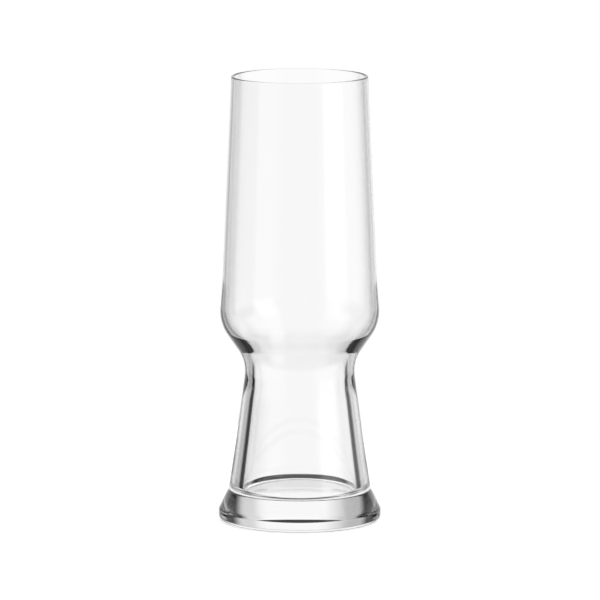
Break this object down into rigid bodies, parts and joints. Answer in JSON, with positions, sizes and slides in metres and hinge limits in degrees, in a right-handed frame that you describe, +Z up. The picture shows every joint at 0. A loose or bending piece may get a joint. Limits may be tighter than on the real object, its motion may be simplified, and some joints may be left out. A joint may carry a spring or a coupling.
{
  "type": "pilsner glass",
  "caption": "Tall clear drinking glass with a long tapered bowl, a rounded shoulder above a narrow waist, and a thick flared lower body on a heavy round foot.",
  "frame": {"origin": "centre of the plane that the glass stands on", "axes": "+Z up along the axis of the glass, from the foot towards the rim; +X and +Y are any two directions across it"},
  "size_m": [0.0786, 0.0786, 0.216],
  "materials": {
    "clear_glass": "polished"
  },
  "bodies": {
    "root": {"pilsner_glass": "clear_glass"}
  },
  "joints": []
}
